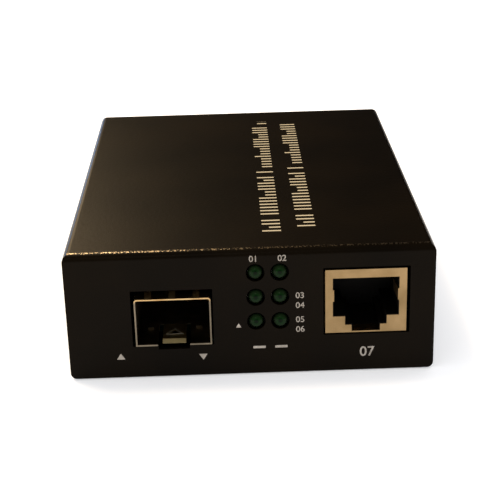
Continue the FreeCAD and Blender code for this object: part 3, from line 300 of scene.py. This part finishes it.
def moulded_plastic(name, dark, light, smooth, rough):
    """Moulded plastic: an even colour under a fine spark-eroded grain, which is about 0.1 mm
    across and is drawn at 0.3 mm, where it shows."""
    material, tree, shader, place = start_material(name, {"Specular IOR Level": 0.15})
    pores = add(tree, NOISE, {"Vector": place, "Scale": 1 / mm(0.3), "Detail": 2.0})
    feed(tree, shader, {
        "Base Color": add(tree, RAMP, {"Fac": pores}, [(0.3, dark), (0.7, light)]),
        "Roughness": add(tree, RANGE, {"Value": pores, "To Min": smooth, "To Max": rough}),
        "Normal": add(tree, BUMP, {"Height": pores, "Strength": 0.4, "Distance": mm(0.01)}),
    })
    return material


def green_epoxy():
    """Tinted clear epoxy: a dark eye over the chip cup, a ring of painted light round it
    and painted shade at its rim.
    """
    material, tree, shader, place = start_material(
        "green tinted epoxy", {"Roughness": 0.25, "Specular IOR Level": 0.075})
    spread = add(tree, "ShaderNodeAttribute", attribute_name="from_eye").outputs["Fac"]
    clouds = add(tree, NOISE, {"Vector": place, "Scale": 1 / mm(0.9), "Detail": 2.0})
    centred = add(tree, MATH, {0: spread, 1: 0.05}, operation="SUBTRACT")
    tone = add(tree, MATH, {0: clouds, 1: 0.1, 2: centred}, operation="MULTIPLY_ADD")
    feed(tree, shader, {"Base Color": add(tree, RAMP, {"Fac": tone}, LENS_LIGHT_AND_SHADE)})
    return material


def printing_ink():
    """Screen-printed pale grey ink: matt, a little uneven where it is thin."""
    material, tree, shader, place = start_material("pale screen ink", {"Roughness": 0.6})
    thin = add(tree, NOISE, {"Vector": place, "Scale": 1 / mm(0.6), "Detail": 2.0})
    feed(tree, shader, {
        "Base Color": add(tree, RAMP, {"Fac": thin}, [(0.25, "8f867a"), (0.75, "b4ab9f")]),
    })
    return material


# Plated sheets list their dark and light colour, then the least and most roughness, and
# then how far their marks are squeezed along X, Y and Z.
FINISHES = {
    "case_paint": powder_coated_steel("powder-coated steel", False),
    "black_screw": blackened_screw(),
    "board_mask": solder_mask(),
    "plated_steel": brushed_plate("tin plate", "8d8b85", "b3b1aa", 0.25, 0.45, (1, 1, 6)),
    # The cage's sheet carries painted top light: brighter and warmer towards its top.
    "cage_plating": brushed_plate("nickel-plated sheet", "5f584c", "857a68", 0.3, 0.45,
                                  (6, 1, 6), painted_top_light=True),
    "jack_plating": brushed_plate("warm nickel plate", "88714e", "a48a64", 0.32, 0.5, (1, 6, 6)),
    "black_plastic": moulded_plastic("black glass-filled nylon", "060505", "0d0b0a", 0.45, 0.65),
    "gold_contact": brushed_plate("gold flash", "b98a3c", "d9b25e", 0.2, 0.35, (1, 1, 6)),
    "green_lens": green_epoxy(),
    "chip_epoxy": moulded_plastic("black moulding epoxy", "131313", "1c1c1c", 0.5, 0.7),
    "ferrite": moulded_plastic("sintered ferrite", "232426", "303133", 0.55, 0.75),
    "capacitor_can": brushed_plate("drawn aluminium", "a9abad", "cfd1d3", 0.25, 0.4, (1, 1, 6)),
    "chip_ceramic": moulded_plastic("tan ceramic", "7a6246", "8c7354", 0.45, 0.6),
}
PRINTED_COVER = powder_coated_steel("powder-coated steel with print", True)
TONGUE_PLATE = brushed_plate("handled nickel plate", "857b5c", "b3a880", 0.35, 0.5, (6, 1, 6))
LIP_PLATE = brushed_plate("matt tin plate", "b8b6ae", "dcdad2", 0.7, 0.85, (1, 1, 6))
INK = printing_ink()


def dress(item, material):
    item.data.materials.clear()
    item.data.materials.append(material)


for part in frame["record"]["subparts"]:
    dress(frame["nodes"][part["node"]], FINISHES[part["material_slot"]])
dress(frame["nodes"]["top_cover"], PRINTED_COVER)


# ---------------------------------------------------------------- modelling helpers
def deselect():
    bpy.ops.object.select_all(action="DESELECT")


def make_active(item):
    deselect()
    item.select_set(True)
    bpy.context.view_layer.objects.active = item


def settle(item):
    """Puts the object's place, turn and scale into its mesh."""
    make_active(item)
    bpy.ops.object.transform_apply(location=True, rotation=True, scale=True)


def open_mesh(item):
    """Opens the item for editing, with all of its mesh selected."""
    make_active(item)
    bpy.ops.object.mode_set(mode="EDIT")
    bpy.ops.mesh.select_all(action="SELECT")


def close_mesh():
    bpy.ops.object.mode_set(mode="OBJECT")


def thicken(shift):
    """Pulls the open mesh out by shift into a closed body whose faces point outwards."""
    bpy.ops.mesh.extrude_region_move(TRANSFORM_OT_translate={"value": shift})
    bpy.ops.mesh.select_all(action="SELECT")
    bpy.ops.mesh.normals_make_consistent(inside=False)


def joined(items, name):
    deselect()
    for item in items:
        item.select_set(True)
    bpy.context.view_layer.objects.active = items[0]
    bpy.ops.object.join()
    items[0].name = name
    items[0].data.name = name
    return items[0]


# ---------------------------------------------------------------- folded sheet metal
EDGE_STEPS = 4
SAME_PLANE = math.radians(1)
CUT_EDGE = math.radians(40)      # a sharper turn than this is a cut edge, not a fold
SMOOTH_FOLD = math.radians(35)


def folded_sheet(node, name, material, softening, body="case", weld=0.002):
    """The node's sheet metal with smooth folds and its cut edges softened by that many mm.
    Points closer than weld, in mm, are merged first."""
    source = frame["nodes"][node]
    sheet = source.copy()
    sheet.data = source.data.copy()
    sheet.parent = None
    sheet.name = name
    sheet.data.name = name
    bpy.context.scene.collection.objects.link(sheet)
    open_mesh(sheet)
    bpy.ops.mesh.remove_doubles(threshold=mm(weld))
    bpy.ops.mesh.dissolve_limited(angle_limit=SAME_PLANE)
    close_mesh()
    bevel = sheet.modifiers.new("softened edges", "BEVEL")
    bevel.width = mm(softening)
    bevel.segments = EDGE_STEPS
    bevel.limit_method = "ANGLE"
    bevel.angle_limit = CUT_EDGE
    bpy.ops.object.modifier_apply(modifier=bevel.name)
    bpy.ops.object.shade_smooth_by_angle(angle=SMOOTH_FOLD)
    normals = sheet.modifiers.new("flat faces", "WEIGHTED_NORMAL")
    normals.keep_sharp = True
    normals.weight = 100
    bpy.ops.object.modifier_apply(modifier=normals.name)
    dress(sheet, material)
    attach(sheet, body)
    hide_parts(node)


folded_sheet("top_cover", "cover", PRINTED_COVER, 0.1)
folded_sheet("sfp_cage_shell", "cage", FINISHES["cage_plating"], 0.1, weld=0.02)
folded_sheet("sfp_latch_tongue", "latch", TONGUE_PLATE, 0.07, body="latch")
folded_sheet("base_tray", "tray", FINISHES["case_paint"], 0.1)
folded_sheet("rj45_shield", "socket_shield", FINISHES["jack_plating"], 0.06)


# ---------------------------------------------------------------- module latch
LATCH_HOLE = (3.05, 2.0, 3.65)   # mm: width, length, and how far behind the front it starts
LIP_MARGIN = 0.5                 # mm that the lip is wider and longer than the hole
LIP_THICKNESS = 0.2
LIP_HEIGHT = 0.2
LIP_ROLL = 0.06
LIP_SHIFT = 0.04                 # mm towards the front
ROLL_STEPS = 3


def rolled_lip():
    """Thin lip rolled up round the three-cornered hole that catches the module. A triangle
    on a circle of radius 1 is the root of 3 wide and 1.5 long."""
    low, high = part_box("sfp_latch_tongue")
    width, length, start = LATCH_HOLE
    deselect()
    bpy.ops.mesh.primitive_circle_add(vertices=3, radius=1, fill_type="NGON")
    lip = bpy.context.object
    lip.name = "latch_lip"
    lip.data.name = "latch_lip"
    lip.scale = (mm(width + LIP_MARGIN) / math.sqrt(3), mm(length + LIP_MARGIN) / 1.5, 1)
    lip.location = ((low.x + high.x) / 2, FRONT + mm(start + length / 3 - LIP_SHIFT), high.z)
    settle(lip)
    open_mesh(lip)
    bpy.ops.mesh.inset(thickness=mm(LIP_THICKNESS))
    bpy.ops.mesh.delete(type="FACE")
    bpy.ops.mesh.select_all(action="SELECT")
    thicken((0, 0, mm(LIP_HEIGHT)))
    close_mesh()
    bevel = lip.modifiers.new("rolled edge", "BEVEL")
    bevel.width = mm(LIP_ROLL)
    bevel.segments = ROLL_STEPS
    bpy.ops.object.modifier_apply(modifier=bevel.name)
    bpy.ops.object.shade_smooth_by_angle(angle=CUT_EDGE)
    dress(lip, LIP_PLATE)
    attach(lip, "latch")


rolled_lip()


# ---------------------------------------------------------------- print on the front
PRINT_PROUD = mm(0.012)      # the ink stands this far off the front, and as far into it
STROKE_SPREAD = 0.012        # part of a figure's size by which its strokes are bolder
CURVE_STEPS = 8
FIGURE_WELD = 0.0015         # part of a figure's size
CORNER = 0.12                # mm, the radius of a printed corner
CORNER_STEPS = 4
LAMP_FIGURE = 1.25           # mm tall
SOCKET_FIGURE = 2.1
BAR = (2.4, 0.5)             # mm: width, height
SMALL_ARROW = (1.2, 1.2)
LARGE_ARROW = (1.9, 1.7)
ABOVE_LAMPS = 2.8            # mm from the top row of lamps up to its figures
BESIDE_LAMPS = 3.8           # mm from the right lamps to the figures beside them
LOWER_FIGURE = 2.0           # mm below the row's middle
UPPER_FIGURE = 0.05          # mm above the row's middle
BELOW_LAMPS = 5.5            # mm from the bottom row of lamps down to the bars


def number_mark(text, x, z, height):
    """Plain figures, that many millimetres tall, centred at x and z."""
    deselect()
    bpy.ops.object.text_add()
    item = bpy.context.object
    item.data.body = text
    item.data.align_x = "CENTER"
    item.data.align_y = "CENTER"
    item.data.offset = STROKE_SPREAD
    item.data.resolution_u = CURVE_STEPS
    bpy.ops.object.convert(target="MESH")
    item = bpy.context.object
    open_mesh(item)
    bpy.ops.mesh.remove_doubles(threshold=FIGURE_WELD)
    bpy.ops.mesh.beautify_fill(angle_limit=math.pi)
    close_mesh()
    scale = mm(height) / item.dimensions.y
    item.scale = (scale, scale, scale)
    item.rotation_euler = (math.radians(90), 0, 0)
    item.location = (mm(x), FRONT + PRINT_PROUD, mm(z))
    settle(item)
    return item


def finish_shape(item, size):
    """Gives a mark its width and height in millimetres, and rounds its corners."""
    item.scale = (mm(size[0]), mm(size[1]), 1)
    settle(item)
    open_mesh(item)
    bpy.ops.mesh.bevel(offset=mm(CORNER), segments=CORNER_STEPS, affect="VERTICES")
    close_mesh()
    return item


def bar_mark(x, z, size):
    """A plain bar of ink."""
    deselect()
    bpy.ops.mesh.primitive_plane_add(size=1, rotation=(math.radians(90), 0, 0),
                                     location=(mm(x), FRONT + PRINT_PROUD, mm(z)))
    return finish_shape(bpy.context.object, size)


def arrow_mark(x, z, size, points_up):
    """A solid triangle that points up or down."""
    deselect()
    turn = 0 if points_up else math.radians(180)
    bpy.ops.mesh.primitive_circle_add(vertices=3, radius=0.5, fill_type="NGON",
                                      rotation=(math.radians(90), turn, 0),
                                      location=(mm(x), FRONT + PRINT_PROUD, mm(z)))
    return finish_shape(bpy.context.object, size)


def front_print():
    """Figures, bars and arrows by the lamps and openings, as one thin body of ink. Places
    are in millimetres, each set off from the lamp, cage or socket that it belongs to."""
    left = middle_of("led_power").x * 1000
    right = middle_of("led_gigabit").x * 1000
    rows = [middle_of(pair[0]).z * 1000 for pair in LAMPS]
    above = rows[0] + ABOVE_LAMPS
    beside = right + BESIDE_LAMPS
    below = rows[2] - BELOW_LAMPS
    cage = middle_of("sfp_cage_shell").x * 1000
    socket = middle_of("rj45_shield").x * 1000
    marks = [
        number_mark("01", left - 0.3, above, LAMP_FIGURE),
        number_mark("02", right + 0.5, above, LAMP_FIGURE),
        number_mark("03", beside, rows[1] + UPPER_FIGURE, LAMP_FIGURE),
        number_mark("04", beside, rows[1] - LOWER_FIGURE, LAMP_FIGURE),
        number_mark("05", beside, rows[2] + UPPER_FIGURE, LAMP_FIGURE),
        number_mark("06", beside, rows[2] - LOWER_FIGURE, LAMP_FIGURE),
        arrow_mark(left - 3.4, rows[2] - 0.9, SMALL_ARROW, True),
        bar_mark(left + 0.5, below, BAR),
        bar_mark(right + 0.1, below, BAR),
        arrow_mark(cage - 10.4, 4.5, LARGE_ARROW, True),
        arrow_mark(cage + 5.5, 4.3, LARGE_ARROW, False),
        number_mark("07", socket + 0.3, 4.0, SOCKET_FIGURE),
    ]
    ink = joined(marks, "front_marks")
    open_mesh(ink)
    thicken((0, -2 * PRINT_PROUD, 0))
    close_mesh()
    dress(ink, INK)
    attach(ink, "case")


front_print()


# ---------------------------------------------------------------- lamps
LENS_SIDES = 96
DOME_STEPS = 16
DOME_RADIUS = 0.92           # part of the lens's radius
EYE_RISE = 0.1               # the cup shows a little above the axis, as a part of the radius
RIM_DEPTH = 0.1              # part of the radius: only the front rim's edges lie so far forward


def lens_body():
    """A clear rod with a domed front end. Each point keeps its distance from the dark eye."""
    low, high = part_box("led_power")
    radius = (high.x - low.x) / 2
    centre = (low + high) / 2
    deselect()
    bpy.ops.mesh.primitive_cylinder_add(vertices=LENS_SIDES, radius=radius, depth=high.y - low.y,
                                        location=centre, rotation=(math.radians(90), 0, 0))
    lens = bpy.context.object
    settle(lens)
    open_mesh(lens)
    bpy.ops.mesh.select_all(action="DESELECT")
    close_mesh()
    front_end = low.y + radius * RIM_DEPTH
    for edge in lens.data.edges:
        first, second = (lens.data.vertices[index].co for index in edge.vertices)
        edge.select = max(first.y, second.y) < front_end
    bpy.ops.object.mode_set(mode="EDIT")
    bpy.ops.mesh.select_mode(type="EDGE")
    bpy.ops.mesh.bevel(offset=radius * DOME_RADIUS, segments=DOME_STEPS, profile=0.5,
                       affect="EDGES")
    close_mesh()
    bpy.ops.object.shade_smooth()
    eye = centre + Vector((0, 0, radius * EYE_RISE))
    spread = lens.data.attributes.new("from_eye", "FLOAT", "POINT")
    for index, vertex in enumerate(lens.data.vertices):
        spread.data[index].value = math.hypot(vertex.co.x - eye.x, vertex.co.z - eye.z) / radius
    return lens


def domed_lamps():
    """One lens for each lamp, copied from the first."""
    pattern = lens_body()
    start = middle_of("led_power")
    for node in [name for pair in LAMPS for name in pair]:
        lens = pattern.copy()
        lens.data = pattern.data.copy()
        bpy.context.scene.collection.objects.link(lens)
        lens.name = node.replace("led", "lens")
        lens.data.name = lens.name
        lens.location = middle_of(node) - start
        settle(lens)
        dress(lens, FINISHES["green_lens"])
        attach(lens, "case")
        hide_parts(node)
    bpy.data.objects.remove(pattern, do_unlink=True)


domed_lamps()


# ---------------------------------------------------------------- stage
FLOOR_SIZE = 6               # metres
FLOOR_GAP = mm(0.02)         # the floor lies this far below the case
OPENING_INSET = mm(4)        # the floor's opening lies this far inside the case's outline
FLOOR_GLOW = 0.28            # what the camera and glossy faces see on top of the lit floor
FILL_LEVEL = 1.0             # light from all round
ROOM_LEVEL = 0.03            # what a glossy face sees above the floor: a dark room
LENS = 91.86                 # mm on a sensor 36 mm wide
VIEWPOINT = Vector((-0.003632, -0.268169, 0.115028))
LOOKS_ALONG = Vector((0.01548555, 0.9277329, -0.3729234))
ROLL = math.radians(-1.534)


def soft_floor():
    """Wide white floor that keeps the shadow. It is open under the case, and clear from below."""
    half_width = (CAD_BOX[1][0] - CAD_BOX[0][0]) / 2 - OPENING_INSET
    half_depth = (CAD_BOX[1][1] - CAD_BOX[0][1]) / 2 - OPENING_INSET
    deselect()
    bpy.ops.mesh.primitive_plane_add(size=FLOOR_SIZE, location=(0, 0, -FLOOR_GAP))
    floor = bpy.context.object
    floor.name = "floor"
    settle(floor)
    open_mesh(floor)
    bpy.ops.mesh.inset(thickness=FLOOR_SIZE / 2 - half_width)
    bpy.ops.transform.resize(value=(1, half_depth / half_width, 1))
    bpy.ops.mesh.delete(type="FACE")
    close_mesh()
    material = bpy.data.materials.new("white paper")
    material.use_nodes = True
    tree = material.node_tree
    tree.nodes.clear()
    ray = add(tree, "ShaderNodeLightPath").outputs
    seen = add(tree, MATH, {0: ray["Is Camera Ray"], 1: ray["Is Glossy Ray"]},
               operation="MAXIMUM")
    seen = add(tree, MATH, {0: seen, 1: ray["Is Transmission Ray"]}, operation="MAXIMUM")
    glow = add(tree, MATH, {0: seen, 1: FLOOR_GLOW}, operation="MULTIPLY")
    paper = add(tree, "ShaderNodeBsdfDiffuse", {"Color": linear("f2f2f2")})
    light = add(tree, "ShaderNodeEmission", {"Color": linear("ffffff"), "Strength": glow})
    above = add(tree, "ShaderNodeAddShader", {0: paper, 1: light})
    below = add(tree, "ShaderNodeBsdfTransparent")
    side = add(tree, "ShaderNodeNewGeometry").outputs["Backfacing"]
    sheet = add(tree, "ShaderNodeMixShader", {0: side, 1: above, 2: below})
    add(tree, "ShaderNodeOutputMaterial", {"Surface": sheet})
    dress(floor, material)


def white_world():
    """White to the camera, even light on the object, and a dark room to its glossy faces."""
    world = bpy.data.worlds.new("studio")
    bpy.context.scene.world = world
    world.use_nodes = True
    tree = world.node_tree
    tree.nodes.clear()
    ray = add(tree, "ShaderNodeLightPath").outputs
    seen = add(tree, MATH, {0: ray["Is Camera Ray"], 1: ray["Is Transmission Ray"]},
               operation="MAXIMUM")
    room = add(tree, MATH, {0: ray["Is Glossy Ray"], 1: ROOM_LEVEL}, operation="MULTIPLY")
    fill = add(tree, MATH, {0: ray["Is Diffuse Ray"], 1: FILL_LEVEL}, operation="MULTIPLY")
    level = add(tree, MATH, {0: seen, 1: room}, operation="MAXIMUM")
    level = add(tree, MATH, {0: level, 1: fill}, operation="ADD")
    sky = add(tree, "ShaderNodeBackground", {"Color": linear("fafbff"), "Strength": level})
    add(tree, "ShaderNodeOutputWorld", {"Surface": sky})


def area_lamp(name, place, aim, size, power, colour):
    """A square lamp of that size in metres that shines from its place at its aim."""
    data = bpy.data.lights.new(name, "AREA")
    data.size = size
    data.energy = power
    data.color = linear(colour)[:3]
    lamp = bpy.data.objects.new(name, data)
    bpy.context.scene.collection.objects.link(lamp)
    lamp.location = place
    lamp.rotation_euler = (Vector(aim) - Vector(place)).to_track_quat("-Z", "Y").to_euler()


def camera():
    data = bpy.data.cameras.new("camera")
    data.lens = LENS
    data.sensor_width = 36
    data.clip_start = 0.01
    item = bpy.data.objects.new("camera", data)
    bpy.context.scene.collection.objects.link(item)
    turn = LOOKS_ALONG.to_track_quat("-Z", "Y").to_matrix().to_4x4()
    item.matrix_world = Matrix.Translation(VIEWPOINT) @ turn @ Matrix.Rotation(ROLL, 4, "Z")
    bpy.context.scene.camera = item


soft_floor()
white_world()
area_lamp("key", (-0.16, 0.06, 0.46), (-0.02, -0.03, 0.02), 0.08, 0.7, "ffe9cc")
area_lamp("front", (-0.05, -0.45, 0.4), (0.0, -0.04, 0.012), 0.06, 0.14, "fff1dc")
area_lamp("sheen", (-0.26, 0.5, 0.43), (-0.02, 0.0, 0.02), 0.34, 4.0, "ffdfae")
area_lamp("edge", (-0.28, 0.6, 0.12), (-0.03, 0.0, 0.02), 0.12, 0.4, "9cc6ff")
camera()
bpy.context.scene.view_settings.view_transform = "Standard"
